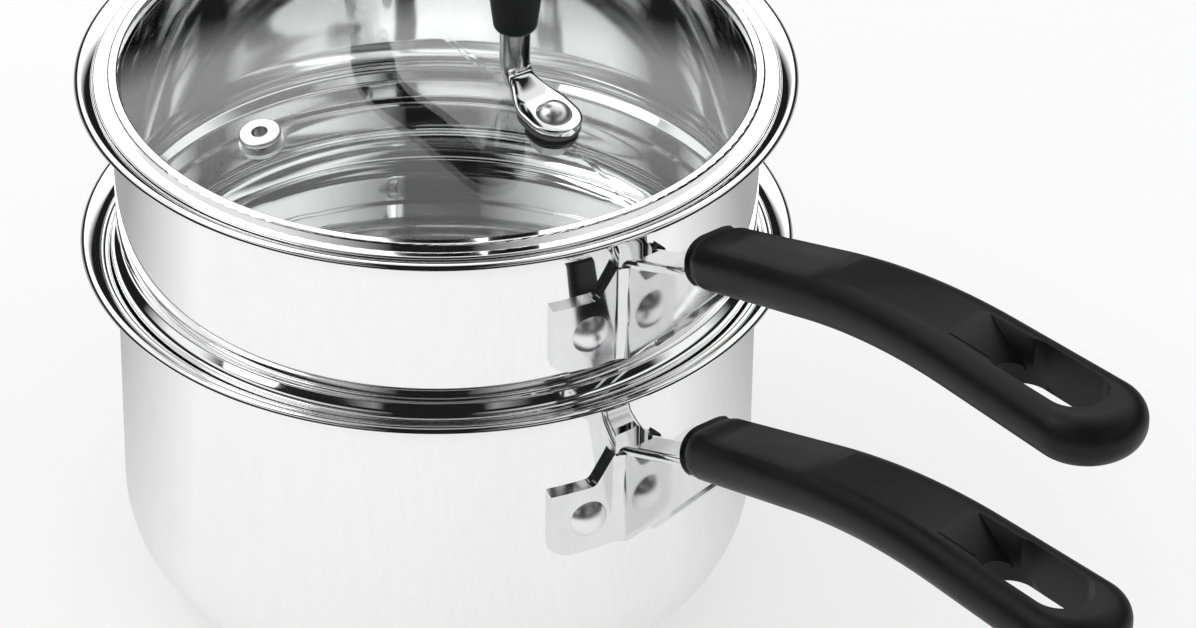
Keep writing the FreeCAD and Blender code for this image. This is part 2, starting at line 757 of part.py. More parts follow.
def lid_vent_eyelet():
    """Tube with a flange on the glass and a rolled end that holds the washer."""
    roll_top = -glass_thickness - vent_washer_thickness
    flange = cylinder(vent_flange_diameter, 2 * vent_flange_height, V(0, 0, -vent_flange_height))
    flange = flange.makeFillet(vent_flange_height / 2, [flange.Edges[0]])
    flange = on_dome(flange, vent_distance, vent_angle).cut(glass_ball(0))
    tube = cylinder(vent_tube_diameter, vent_flange_height / 2 - roll_top, V(0, 0, roll_top))
    roll = cylinder(vent_roll_diameter, vent_roll_height, V(0, 0, roll_top - vent_roll_height))
    roll = roll.makeFillet(vent_roll_height / 2, [roll.Edges[2]])
    bore = cylinder(vent_hole_diameter, glass_dome_radius, V(0, 0, -glass_dome_radius / 2))
    body = flange.fuse(on_dome(tube.fuse(roll), vent_distance, vent_angle))
    return body.cut(on_dome(bore, vent_distance, vent_angle)).removeSplitter()


def under_disc(diameter, thickness, distance, turn):
    """Disc against the dome's lower surface, its free face flat."""
    disc = cylinder(diameter, 2 * thickness, V(0, 0, -glass_thickness - thickness))
    return on_dome(disc, distance, turn).common(glass_ball(glass_thickness))


def lid_vent_washer():
    disc = under_disc(vent_washer_diameter, vent_washer_thickness, vent_distance, vent_angle)
    bore = cylinder(vent_tube_diameter, glass_dome_radius, V(0, 0, -glass_dome_radius / 2))
    return disc.cut(on_dome(bore, vent_distance, vent_angle))


def foot_point(along, above):
    """Row position of a point given along the foot and above the glass at the bolt."""
    tilt = asin(foot_fastener_x / glass_dome_radius)
    seat = point_xz(foot_fastener_x, glass_apex_z - dome_sag(foot_fastener_x))
    return seat + V(cos(tilt), 0, -sin(tilt)) * along + V(sin(tilt), 0, cos(tilt)) * above


def loop_corners():
    """Corner points of the rod's centre line, from one foot to the other."""
    above = foot_pad_thickness + loop_rod_diameter / 2
    start = foot_point(-foot_taper_start, above)
    slope = foot_fastener_x / sqrt(glass_dome_radius ** 2 - foot_fastener_x ** 2)
    heel = point_xz(loop_leg_x, start.z + (start.x - loop_leg_x) * slope)
    top = point_xz(loop_leg_x, glass_apex_z + loop_height)
    half = [start, heel, top]
    return half + [V(-p.x, 0, p.z) for p in reversed(half)]


def swept_rod(points, rounds, diameter):
    path = Part.Wire(rounded_edges(points, rounds))
    along = path.Edges[0].tangentAt(path.Edges[0].FirstParameter)
    profile = Part.Wire(Part.makeCircle(diameter / 2, points[0], along))
    return path.makePipeShell([profile], True, False)


def rounded_section(along, above, width, height, corner_round):
    """Rounded rectangle across the foot, its flat bottom on the pad."""
    half_width = width / 2
    low = above
    high = above + height
    points = [V(0, 0, low), V(0, half_width, low), V(0, half_width, high)]
    points += [V(0, -half_width, high), V(0, -half_width, low), V(0, 0, low)]
    section = Part.Wire(rounded_edges(points, [corner_round] * 4))
    section.translate(V(along, 0, 0))
    return section


def flat_foot():
    """Flattened end of the rod: tapers from round to flat, ends round about the bolt."""
    taper_end = -foot_taper_start + foot_taper_length
    near_round = loop_rod_diameter / 2 - foot_round / 4
    low = foot_pad_thickness
    rod = loop_rod_diameter
    sections = [
        rounded_section(-foot_taper_start, low, rod, rod, near_round),
        rounded_section(taper_end, low, foot_width, foot_thickness, foot_round),
    ]
    taper = Part.makeLoft(sections, True, True)
    flat = stadium_face(taper_end - foot_width / 2, foot_width / 2, foot_width)
    flat = flat.extrude(V(0, 0, foot_thickness))
    flat.translate(V(0, 0, foot_pad_thickness))
    flat = flat.makeFillet(foot_round, [e for e in flat.Edges if e.BoundBox.ZMin > foot_pad_thickness + 0.1])
    side = 2 * foot_width
    trim = Part.makeBox(side, side, side, V(taper_end, -foot_width, -foot_width))
    hole = cylinder(bolt_shank_diameter, 4 * foot_thickness)
    return taper.fuse(flat.common(trim)).cut(hole)


def lid_handle_loop():
    rounds = [foot_bend_radius, loop_corner_radius, loop_corner_radius, foot_bend_radius]
    rod = swept_rod(loop_corners(), rounds, loop_rod_diameter)
    feet = [on_dome(flat_foot(), foot_fastener_x, turn) for turn in (0, 180)]
    return rod.fuse(feet).removeSplitter()


def lid_handle_sleeve():
    """Grip moulded round the loop's top and the upper part of its legs."""
    low = glass_apex_z + sleeve_above_glass
    grown = low + sleeve_taper_length
    top = glass_apex_z + loop_height
    points = [point_xz(loop_leg_x, grown), point_xz(loop_leg_x, top)]
    points += [V(-p.x, 0, p.z) for p in reversed(points)]
    body = swept_rod(points, [loop_corner_radius, loop_corner_radius], sleeve_diameter)
    end = sleeve_end_diameter / 2
    outline = rounded_edges(
        [point_xz(0, low), point_xz(end, low), point_xz(sleeve_diameter / 2, grown), point_xz(0, grown)],
        [sleeve_end_round, 0])
    outline.append(Part.LineSegment(point_xz(0, grown), point_xz(0, low)).toShape())
    cuff = revolved(Part.Face(Part.Wire(outline)))
    cuffs = [placed(cuff, loop_leg_x, 0, 0, turn) for turn in (0, 180)]
    return body.fuse(cuffs).removeSplitter().cut(lid_handle_loop())


def foot_pad():
    """Soft pad under the foot, hollowed to the dome."""
    pad = stadium_face(foot_width / 2 - foot_pad_length, foot_width / 2, foot_width)
    pad = pad.extrude(V(0, 0, 2 * foot_pad_thickness))
    pad.translate(V(0, 0, -foot_pad_thickness))
    return pad.cut(cylinder(bolt_shank_diameter, 4 * foot_pad_thickness, V(0, 0, -2 * foot_pad_thickness)))


def lid_foot_pads():
    return loop_pair(lambda turn: on_dome(foot_pad(), foot_fastener_x, turn).cut(glass_ball(0)))


def under_pad(turn):
    disc = under_disc(under_pad_diameter, under_pad_thickness, foot_fastener_x, turn)
    bore = cylinder(bolt_shank_diameter, glass_dome_radius, V(0, 0, -glass_dome_radius / 2))
    return disc.cut(on_dome(bore, foot_fastener_x, turn))


def lid_under_pads():
    return loop_pair(under_pad)


def handle_bolt():
    """Domed bolt: head on the foot, shank through glass and nut."""
    seat = foot_pad_thickness + foot_thickness
    end = -glass_thickness - under_pad_thickness - nut_height - bolt_protrusion
    radius = bolt_head_diameter / 2
    dome_radius = (radius ** 2 + bolt_head_height ** 2) / (2 * bolt_head_height)
    dome = Part.makeSphere(dome_radius, V(0, 0, seat + bolt_head_height - dome_radius))
    head = dome.common(cylinder(bolt_head_diameter, bolt_head_height, V(0, 0, seat)))
    shank = cylinder(bolt_shank_diameter, seat - end, V(0, 0, end))
    return head.fuse(shank)


def lid_handle_bolts():
    return loop_pair(lambda turn: on_dome(handle_bolt(), foot_fastener_x, turn))


def nut():
    low = -glass_thickness - under_pad_thickness - nut_height
    corner_radius = nut_width / 2 / cos(radians(30))
    turns = [radians(angle) for angle in range(0, 360, 60)]
    corners = [V(corner_radius * cos(a), corner_radius * sin(a), low) for a in turns]
    body = polygon_face(corners).extrude(V(0, 0, nut_height))
    round_off = cylinder(2 * corner_radius, nut_height, V(0, 0, low))
    round_off = round_off.makeChamfer(nut_chamfer, [round_off.Edges[0], round_off.Edges[2]])
    return body.common(round_off).cut(cylinder(bolt_shank_diameter, nut_height, V(0, 0, low)))


def lid_handle_nuts():
    return loop_pair(lambda turn: on_dome(nut(), foot_fastener_x, turn))


# Output

def with_rivet_holes(shell, rivet_z):
    return shell.cut(group(rivet_holes(rivet_z)))


def handle_nodes(prefix, rivet_z):
    """The parts of a pan handle; the two pans' handles differ only in height."""
    return {
        prefix + "_bracket": bracket(rivet_z),
        prefix + "_rivets": rivets(rivet_z),
        prefix + "_ferrule": ferrule(rivet_z),
        prefix + "_grip": grip(rivet_z),
        prefix + "_grip_screw": grip_screw(rivet_z),
    }


def build():
    saucepan_rivet_z = saucepan_lip_z - saucepan_rivet_below_lip
    insert_rivet_z = insert_lip_z - insert_rivet_below_lip
    nodes = {
        "saucepan_shell": with_rivet_holes(saucepan_shell(), saucepan_rivet_z),
        "saucepan_base_core": saucepan_base_core(),
        "saucepan_base_cap": saucepan_base_cap(),
        "insert_shell": with_rivet_holes(insert_shell(), insert_rivet_z),
        "lid_glass": lid_glass(),
        "lid_rim_band": lid_rim_band(),
        "lid_vent_eyelet": lid_vent_eyelet(),
        "lid_vent_washer": lid_vent_washer(),
        "lid_handle_loop": lid_handle_loop(),
        "lid_handle_sleeve": lid_handle_sleeve(),
        "lid_handle_bolts": lid_handle_bolts(),
        "lid_foot_pads": lid_foot_pads(),
        "lid_under_pads": lid_under_pads(),
        "lid_handle_nuts": lid_handle_nuts(),
    }
    nodes.update(handle_nodes("saucepan", saucepan_rivet_z))
    nodes.update(handle_nodes("insert", insert_rivet_z))
    return nodes


os.makedirs("parts", exist_ok=True)
for name, shape in build().items():
    shape.exportStep("parts/" + name + ".step")
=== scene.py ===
import json
import math

import bpy
from mathutils import Matrix, Vector

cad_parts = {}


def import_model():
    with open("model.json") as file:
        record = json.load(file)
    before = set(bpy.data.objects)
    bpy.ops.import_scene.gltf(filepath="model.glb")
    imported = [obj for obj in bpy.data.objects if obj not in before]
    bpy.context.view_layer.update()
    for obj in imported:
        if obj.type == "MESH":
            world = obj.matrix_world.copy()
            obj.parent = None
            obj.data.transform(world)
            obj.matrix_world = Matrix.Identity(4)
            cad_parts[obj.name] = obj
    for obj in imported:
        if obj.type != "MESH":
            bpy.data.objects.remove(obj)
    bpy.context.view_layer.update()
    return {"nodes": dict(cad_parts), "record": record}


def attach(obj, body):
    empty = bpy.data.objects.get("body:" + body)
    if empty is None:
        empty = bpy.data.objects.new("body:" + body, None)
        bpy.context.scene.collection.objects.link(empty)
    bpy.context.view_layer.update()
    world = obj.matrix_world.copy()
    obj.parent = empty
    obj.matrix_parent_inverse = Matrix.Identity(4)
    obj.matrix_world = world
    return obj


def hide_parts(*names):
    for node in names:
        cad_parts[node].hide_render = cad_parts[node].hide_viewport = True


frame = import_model()
nodes = frame["nodes"]

MM = 0.001

# Pans: sizes in millimetres and degrees, the same as those of the solids
BORE_R = 80.2
SHEET = 0.7
FLARE_R = 11.0
FLARE_TURN = 74.3
CURL_R = 1.4
CURL_END = 165.0
SAUCEPAN_FLOOR = 4.0
SAUCEPAN_LIP = 102.0
SAUCEPAN_CORNER = 28.0
INSERT_FLOOR = 75.0582
INSERT_LIP = INSERT_FLOOR + 74.0
INSERT_CORNER = 9.0
LOWER_R = 78.3
NECK_R = 79.0
GROOVE_R = 79.1
BEAD_X = 79.4
BEAD_Z = INSERT_FLOOR + 25.6
BEAD_R = 2.3
BEAD_FLANK = 50.0
STEP_BELOW_BEAD = 9.0
SHOULDER_ABOVE_BEAD = 8.2
CORNER_R = 1.4

# Pans: how fine the turned meshes are
TURNED_SEGMENTS = 256
LONGEST_RUN = 6.0
ON_AXIS = 1e-6

# Grips: heights from each pan's rivets
SAUCEPAN_RIVET = 65.6
INSERT_RIVET = 120.4582
SLOT_TOP = 61.4
SLOT_START = 209.7
SCOOP_LEAD = 10.0
SCOOP_R = 9.0
SCOOP_ANGLE = 30.0
SCOOP_DEPTH = 3.0
SCOOP_ENDS = (-30.0, 26.0)
SCOOP_SEGMENTS = 64

# Lid handle: a round rod with flattened, widened feet
GLASS_APEX = 161.587
DOME_R = 300.0
LEG_X = 32.0
ROD_R = 3.8
FOOT_X = 47.2
FOOT_HALF_WIDTH = 7.0
FOOT_THICKNESS = 2.2
FOOT_SQUARENESS = 0.45
FOOT_REACH_UP = 4.0
WIDENING = (-14.5, -4.0)
FLATTENING = (-19.0, -6.5)
UP_THE_LEG = -30.0
PAD_THICKNESS = 0.9
LOOP_TOP = GLASS_APEX + 43.5
LOOP_CORNER = 12.0
HEEL_R = 7.5
ROD_RUN = 1.0
ROD_SEGMENTS = 32

# Camera in metres and degrees, fitted to the pans' rims and the grips
LENS = 176.48
CAMERA_TURN = math.radians(51.6)
CAMERA_ELEVATION = math.radians(33.99)
CAMERA_ROLL = math.radians(0.879)
CAMERA_DISTANCE = 1.497
CAMERA_AIM = Vector((0.04098, 0, -0.02474))
CAMERA_SIDE = Vector((math.sin(CAMERA_TURN), -math.cos(CAMERA_TURN), 0))

# Stage
TABLE_HALF = 4.0
ROOM_DARK = 0.012
BACKDROP_GAIN = 1.9


# Outlines

def arc(center, radius, start, end, step):
    """Points of an arc in the r-z plane, angles in degrees from +r towards +z."""
    count = max(3, math.ceil(abs(end - start) / step))
    angles = [math.radians(start + (end - start) * i / count) for i in range(count + 1)]
    return [(center[0] + radius * math.cos(a), center[1] + radius * math.sin(a)) for a in angles]


def rounded(points, rounds, step):
    """Points of a polyline whose inner corners are rounded."""
    out = [points[0]]
    for before, corner, after, radius in zip(points, points[1:], points[2:], rounds):
        corner = Vector(corner)
        back = (Vector(before) - corner).normalized()
        ahead = (Vector(after) - corner).normalized()
        half = back.angle(ahead) / 2
        entry = corner + back * (radius / math.tan(half))
        leave = corner + ahead * (radius / math.tan(half))
        center = corner + (back + ahead).normalized() * (radius / math.sin(half))
        start = math.atan2(entry.y - center.y, entry.x - center.x)
        end = math.atan2(leave.y - center.y, leave.x - center.x)
        turn = (end - start + math.pi) % (2 * math.pi) - math.pi
        out += arc(center, radius, math.degrees(start), math.degrees(start + turn), step)
    return out + [points[-1]]


def subdivided(path, longest):
    """The path with its long runs divided, so that the mesh is even."""
    out = [path[0]]
    for a, b in zip(path, path[1:]):
        count = max(1, math.ceil(math.dist(a, b) / longest))
        for i in range(1, count + 1):
            out.append((a[0] + (b[0] - a[0]) * i / count, a[1] + (b[1] - a[1]) * i / count))
    return out


def direction_at(path, i):
    """Unit vector along the path at its point i, from the points on both sides."""
    before = Vector(path[max(i - 1, 0)])
    after = Vector(path[min(i + 1, len(path) - 1)])
    return (after - before).normalized()


def flare(lip_z):
    """Upper surface of the flare and the curled lip."""
    turn = math.radians(FLARE_TURN)
    center = (BORE_R + FLARE_R, lip_z - (FLARE_R - CURL_R) * math.sin(turn))
    curl = (center[0] - (FLARE_R - CURL_R) * math.cos(turn), lip_z)
    points = arc(center, FLARE_R, 180, 180 - FLARE_TURN, 4.0)
    return points + arc(curl, CURL_R, 180 - FLARE_TURN, 180 - CURL_END, 10.0)[1:]


def sheet_loop(path, thickness):
    """Closed outline of a sheet: the path and the path moved to its outer side."""
    outer = []
    for i, point in enumerate(path):
        along = direction_at(path, i)
        outer.append((point[0] + along.y * thickness, point[1] - along.x * thickness))
    outer[0] = (0.0, path[0][1] - thickness)
    return path + outer[::-1]


# Meshes

def link(obj):
    bpy.context.scene.collection.objects.link(obj)
    return obj


def mesh_object(name, verts, faces):
    mesh = bpy.data.meshes.new(name)
    mesh.from_pydata(verts, [], faces)
    mesh.validate()
    return link(bpy.data.objects.new(name, mesh))


def smoothed(obj, sharp):
    """The object shaded smooth, but for edges that turn more than an angle in degrees."""
    mesh = obj.data
    mesh.polygons.foreach_set("use_smooth", [True] * len(mesh.polygons))
    mesh.set_sharp_from_angle(angle=math.radians(sharp))
    return obj


def band(low, high):
    """Faces between two rings of points; a ring of one point is the tip of a fan."""
    if len(low) == 1 and len(high) == 1:
        return []
    count = max(len(low), len(high))
    faces = []
    for i in range(count):
        j = (i + 1) % count
        if len(low) == 1:
            faces.append((low[0], high[j], high[i]))
        elif len(high) == 1:
            faces.append((low[i], low[j], high[0]))
        else:
            faces.append((low[i], low[j], high[j], high[i]))
    return faces


def lathe(name, loop):
    """Solid of revolution about Z from a closed outline in millimetres."""
    turns = [2 * math.pi * i / TURNED_SEGMENTS for i in range(TURNED_SEGMENTS)]
    verts = []
    rings = []
    for r, z in loop:
        start = len(verts)
        if abs(r) < ON_AXIS:
            verts.append((0, 0, z * MM))
        else:
            verts += [(r * MM * math.cos(a), r * MM * math.sin(a), z * MM) for a in turns]
        rings.append(range(start, len(verts)))
    faces = []
    for low, high in zip(rings, rings[1:] + rings[:1]):
        faces += band(low, high)
    return smoothed(mesh_object(name, verts, faces), 35.0)


# Materials

class Shader:
    """The nodes of a material or a world under construction: short calls for what it needs."""

    def __init__(self, owner):
        self.owner = owner
        self.owner.use_nodes = True
        self.tree = owner.node_tree
        self.tree.nodes.clear()

    def node(self, kind, inputs=None, **settings):
        node = self.tree.nodes.new(kind)
        for key, value in settings.items():
            setattr(node, key, value)
        for key, value in (inputs or {}).items():
            socket = node.inputs[key]
            if isinstance(value, bpy.types.NodeSocket):
                self.tree.links.new(value, socket)
            else:
                socket.default_value = value
        return node

    def position(self):
        return self.node("ShaderNodeTexCoord").outputs["Object"]

    def glossy_ray(self):
        return self.node("ShaderNodeLightPath").outputs["Is Glossy Ray"]

    def part_of(self, vector, axis):
        """One coordinate of a vector."""
        return self.node("ShaderNodeSeparateXYZ", {"Vector": vector}).outputs[axis]

    def along(self, vector, way):
        """How far a vector goes along a fixed direction."""
        inputs = {0: vector, 1: way}
        return self.node("ShaderNodeVectorMath", inputs, operation="DOT_PRODUCT").outputs["Value"]

    def mapped(self, vector, scale, rotation=(0, 0, 0)):
        inputs = {"Vector": vector, "Scale": scale, "Rotation": rotation}
        return self.node("ShaderNodeMapping", inputs).outputs["Vector"]

    def noise(self, vector, scale, detail):
        inputs = {"Vector": vector, "Scale": scale, "Detail": detail}
        return self.node("ShaderNodeTexNoise", inputs).outputs["Fac"]

    def calc(self, operation, a, b=0.0):
        return self.node("ShaderNodeMath", {0: a, 1: b}, operation=operation).outputs[0]

    def product(self, first, *others):
        for other in others:
            first = self.calc("MULTIPLY", first, other)
        return first

    def spread(self, value, low, high, from_low=0.3, from_high=0.7):
        """The value carried over from one range to another, and held inside it."""
        inputs = {"Value": value, "From Min": from_low, "From Max": from_high}
        inputs.update({"To Min": low, "To Max": high})
        return self.node("ShaderNodeMapRange", inputs).outputs["Result"]

    def rise(self, value, start, end):
        return self.spread(value, 0.0, 1.0, start, end)

    def fall(self, value, start, end):
        return self.spread(value, 1.0, 0.0, start, end)

    def ramp(self, value, stops):
        """Colour between two stops."""
        node = self.node("ShaderNodeValToRGB", {"Fac": value})
        for element, (at, color) in zip(node.color_ramp.elements, stops):
            element.position = at
            element.color = (*color, 1)
        return node.outputs["Color"]

    def mix(self, share, color, other):
        inputs = {"Fac": share, "Color1": color, "Color2": (*other, 1)}
        return self.node("ShaderNodeMixRGB", inputs).outputs["Color"]

    def bump(self, height, strength, distance):
        inputs = {"Height": height, "Strength": strength, "Distance": distance}
        return self.node("ShaderNodeBump", inputs).outputs["Normal"]

    def surface(self, inputs):
        """Ends a material and returns it."""
        shader = self.node("ShaderNodeBsdfPrincipled", inputs)
        self.node("ShaderNodeOutputMaterial", {"Surface": shader.outputs[0]})
        return self.owner


def material(name):
    return Shader(bpy.data.materials.new(name))


def gray(level):
    return (level, level, level)


def darker(tone, share):
    return tuple(c * share for c in tone)


def around_axis(s):
    """Coordinates that run as (angle, height, radius) about Z, for turned marks."""
    x, y, z = s.node("ShaderNodeSeparateXYZ", {"Vector": s.position()}).outputs
    squares = s.calc("ADD", s.product(x, x), s.product(y, y))
    inputs = {"X": s.calc("ARCTAN2", y, x), "Y": z, "Z": s.calc("SQRT", squares)}
    return s.node("ShaderNodeCombineXYZ", inputs).outputs["Vector"]


def polished_steel(name, tone, rough, marks):
    """Mirror-polished sheet: faint turned marks round the axis, clouding and fine handling marks."""
    s = material(name)
    turned = s.noise(s.mapped(around_axis(s), (3, 800, 800)), 1.0, 2.0)
    cloud = s.noise(s.position(), 22.0, 4.0)
    wipes = s.noise(s.mapped(s.position(), (90, 700, 90), (0.3, 0.5, 0.9)), 1.0, 3.0)
    clouded = s.spread(cloud, rough * 0.75, rough * 1.35)
    height = s.calc("ADD", turned, s.product(cloud, 4.0))
    return s.surface({
        "Base Color": s.ramp(wipes, [(0.30, darker(tone, 0.985)), (0.62, tone)]),
        "Metallic": 1.0,
        "Roughness": s.calc("ADD", clouded, s.spread(turned, -0.01, 0.02)),
        "Normal": s.bump(height, marks, 0.00001),
    })


def satin_steel(name, tone, rough):
    """Small stamped or headed steel: finer grain without direction."""
    s = material(name)
    grain = s.noise(s.position(), 2200.0, 3.0)
    cloud = s.noise(s.position(), 160.0, 3.0)
    return s.surface({
        "Base Color": s.ramp(cloud, [(0.3, darker(tone, 0.93)), (0.7, tone)]),
        "Metallic": 1.0,
        "Roughness": s.spread(cloud, rough * 0.8, rough * 1.3),
        "Normal": s.bump(grain, 0.12, 0.00002),
    })


def thumb_rest_painted_sheen(s):
    """Mask of the painted sheen on the thumb rests: where they lie along the grips, on faces that look
    up, which are lightened as if lit from above.
    """
    x = s.part_of(s.position(), "X")
    up = s.part_of(s.node("ShaderNodeNewGeometry").outputs["Normal"], "Z")
    return s.product(s.rise(x, 0.116, 0.120), s.fall(x, 0.150, 0.156), s.rise(up, 0.90, 0.94))


def moulded_black(name):
    """Soft-touch moulded grip: near black, fine pebbled grain, with a painted sheen that lightens the
    thumb rests' upward faces.
    """
    s = material(name)
    pebbles = s.node("ShaderNodeTexVoronoi", {"Vector": s.position(), "Scale": 1500.0})
    fine = s.noise(s.position(), 3800.0, 2.0)
    cloud = s.noise(s.position(), 45.0, 4.0)
    color = s.ramp(cloud, [(0.25, (0.0042, 0.0042, 0.0044)), (0.75, (0.0075, 0.0075, 0.0078))])
    height = s.calc("ADD", s.product(pebbles.outputs["Distance"], 1.6), fine)
    return s.surface({
        # Painted sheen: the thumb rests' upward faces get a lighter grey base colour, as if lit from
        # above
        "Base Color": s.mix(thumb_rest_painted_sheen(s), color, (0.03, 0.03, 0.031)),
        "Roughness": s.spread(cloud, 0.36, 0.46),
        "Specular IOR Level": 0.20,
        "Normal": s.bump(height, 0.16, 0.00003),
    })


def clear_glass(name):
    """Tempered glass: clear with a faint cool tint and almost invisible waviness."""
    s = material(name)
    wave = s.noise(s.position(), 14.0, 1.0)
    return s.surface({
        "Base Color": s.ramp(wave, [(0.0, (0.978, 0.986, 0.984)), (1.0, (0.988, 0.993, 0.991))]),
        "Roughness": 0.0,
        "IOR": 1.5,
        "Transmission Weight": 1.0,
        "Normal": s.bump(wave, 0.05, 0.0004),
    })


def soft_pad(name, tone):
    """Rubber pad: matt, with a fine grain."""
    s = material(name)
    grain = s.noise(s.position(), 1500.0, 3.0)
    return s.surface({
        "Base Color": s.ramp(grain, [(0.3, darker(tone, 0.8)), (0.7, tone)]),
        "Roughness": 0.7,
        "Normal": s.bump(grain, 0.2, 0.00003),
    })


LOOKS = {
    "pan_steel": polished_steel("pan_steel_look", gray(0.935), 0.045, 0.04),
    "band_steel": polished_steel("band_steel_look", gray(0.90), 0.05, 0.04),
    "base_steel": polished_steel("base_steel_look", (0.72, 0.72, 0.73), 0.22, 0.35),
    "bracket_steel": satin_steel("bracket_steel_look", (0.82, 0.82, 0.825), 0.10),
    "loop_steel": satin_steel("loop_steel_look", (0.85, 0.85, 0.855), 0.08),
    "rivet_steel": satin_steel("rivet_steel_look", gray(0.90), 0.30),
    "screw_steel": satin_steel("screw_steel_look", (0.62, 0.62, 0.63), 0.28),
    "core_aluminium": satin_steel("core_aluminium_look", (0.77, 0.78, 0.80), 0.35),
    "grip_black": moulded_black("grip_black_look"),
    "pad_rubber": soft_pad("pad_rubber_look", gray(0.10)),
    "lid_glass": clear_glass("lid_glass_look"),
}


# Pieces

def dress(obj, look):
    obj.data.materials.clear()
    obj.data.materials.append(look)


def worn_edges(obj):
    """Small rounds on the edges of a stamped piece."""
    edge = obj.modifiers.new("worn_edges", "BEVEL")
    edge.width = 0.6 * MM
    edge.segments = 3
    edge.limit_method = "ANGLE"
    edge.angle_limit = math.radians(40)
    edge.harden_normals = True


def piece(obj, body, node, slot_name):
    """A finished piece that stands for a solid."""
    dress(obj, LOOKS[slot_name])
    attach(obj, body)
    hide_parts(node)


def saucepan_shell():
    """The saucepan's sheet, from the floor to the curled lip."""
    floor_z = SAUCEPAN_FLOOR + SHEET
    points = [(0.0, floor_z), (BORE_R, floor_z), flare(SAUCEPAN_LIP)[0]]
    path = rounded(points, [SAUCEPAN_CORNER - SHEET], 5.0)
    path = subdivided(path, LONGEST_RUN)[:-1] + flare(SAUCEPAN_LIP)
    return lathe("saucepan_shell_skin", sheet_loop(path, SHEET))


def insert_shell():
    """The insert's sheet, from the floor over the bead and the groove to the curled lip."""
    floor_z = INSERT_FLOOR + SHEET
    flank = math.radians(BEAD_FLANK)
    touch_x = BEAD_X + BEAD_R * math.cos(flank)
    touch_rise = BEAD_R * math.sin(flank)
    neck_drop = touch_rise + (touch_x - NECK_R) / math.tan(flank)
    groove_rise = touch_rise + (touch_x - GROOVE_R) / math.tan(flank)
    step = NECK_R - LOWER_R
    corners = [
        (LOWER_R, floor_z, INSERT_CORNER - SHEET),
        (LOWER_R, BEAD_Z - STEP_BELOW_BEAD - step, CORNER_R),
        (NECK_R, BEAD_Z - STEP_BELOW_BEAD + step, CORNER_R),
        (NECK_R, BEAD_Z - neck_drop, CORNER_R),
        (BEAD_X + BEAD_R / math.cos(flank), BEAD_Z, BEAD_R),
        (GROOVE_R, BEAD_Z + groove_rise, CORNER_R),
        (BORE_R, BEAD_Z + SHOULDER_ABOVE_BEAD, CORNER_R),
    ]
    points = [(0.0, floor_z)] + [(x, z) for x, z, _ in corners] + [flare(INSERT_LIP)[0]]
    path = rounded(points, [radius for _, _, radius in corners], 8.0)
    path = subdivided(path, LONGEST_RUN)[:-1] + flare(INSERT_LIP)
    return lathe("insert_shell_skin", sheet_loop(path, SHEET))


def scoop_tool(slot_top):
    """Round bar that lies in the sloping way into the hanging slot."""
    slope = math.radians(SCOOP_ANGLE)
    way = Vector((math.cos(slope), 0, -math.sin(slope)))
    side = Vector((math.sin(slope), 0, math.cos(slope)))
    start = Vector((SLOT_START - SCOOP_LEAD, 0, slot_top)) + side * (SCOOP_R - SCOOP_DEPTH)
    verts = []
    for end in SCOOP_ENDS:
        for i in range(SCOOP_SEGMENTS):
            a = 2 * math.pi * i / SCOOP_SEGMENTS
            ring = side * math.cos(a) + Vector((0, 1, 0)) * math.sin(a)
            verts.append(tuple((start + way * end + ring * SCOOP_R) * MM))
    first = range(SCOOP_SEGMENTS)
    last = range(SCOOP_SEGMENTS, 2 * SCOOP_SEGMENTS)
    return mesh_object("scoop_tool", verts, band(first, last) + [tuple(reversed(first)), tuple(last)])


def grip(node, rivet_z):
    """The grip with a round, scooped way into its hanging slot."""
    tool = scoop_tool(rivet_z + SLOT_TOP)
    skin = link(bpy.data.objects.new(node + "_skin", nodes[node].data.copy()))
    cut = skin.modifiers.new("scoop", "BOOLEAN")
    cut.operation = "DIFFERENCE"
    cut.solver = "EXACT"
    cut.object = tool
    bpy.context.view_layer.update()
    shown = skin.evaluated_get(bpy.context.evaluated_depsgraph_get())
    mesh = bpy.data.meshes.new_from_object(shown)
    skin.modifiers.clear()
    skin.data = mesh
    bpy.data.objects.remove(tool)
    return smoothed(skin, 32.0)


def smooth_step(value, low, high):
    t = min(1.0, max(0.0, (value - low) / (high - low)))
    return t * t * (3 - 2 * t)


def rod_section(place, normal, half_width, half_height, squareness):
    """Ring of points round a rod: Y is its width, the normal its height; place is on its inner side."""
    ring = []
    for i in range(ROD_SEGMENTS):
        a = 2 * math.pi * i / ROD_SEGMENTS
        c, s = math.cos(a), math.sin(a)
        across = half_width * math.copysign(abs(c) ** squareness, c)
        high = half_height * (1 + math.copysign(abs(s) ** squareness, s))
        ring.append((place[0] + normal[0] * high, across, place[1] + normal[1] * high))
    return ring


def rod_size(point, seat, along):
    """Half width, half height and squareness of the rod: round, but wide and flat on the foot."""
    on_foot = point[1] < seat.y + HEEL_R + FOOT_REACH_UP
    out = (Vector(point) - seat).dot(along) if on_foot else UP_THE_LEG
    half_width = ROD_R + (FOOT_HALF_WIDTH - ROD_R) * smooth_step(out, *WIDENING)
    if out > 0:
        half_width = math.sqrt(max(0.01, FOOT_HALF_WIDTH ** 2 - out ** 2))
    flatness = smooth_step(out, *FLATTENING)
    half_height = ROD_R + (FOOT_THICKNESS / 2 - ROD_R) * flatness
    return half_width, half_height, 1.0 - FOOT_SQUARENESS * flatness


def loop_path(seat, along):
    """Inner side of the rod: round foot end, heel, leg and half of the top."""
    tip = seat + along * FOOT_HALF_WIDTH
    leg = LEG_X - ROD_R
    heel = seat + along * ((leg - seat.x) / along.x)
    top = LOOP_TOP - ROD_R
    path = rounded([tip, heel, (leg, top), (0.0, top)], [HEEL_R, LOOP_CORNER - ROD_R], 6.0)
    backs = [FOOT_HALF_WIDTH * (1 - math.cos(math.radians(a))) for a in range(4, 91, 6)]
    foot_end = [tuple(tip - along * back) for back in backs]
    return foot_end + subdivided([foot_end[-1]] + path[1:], ROD_RUN)[1:]


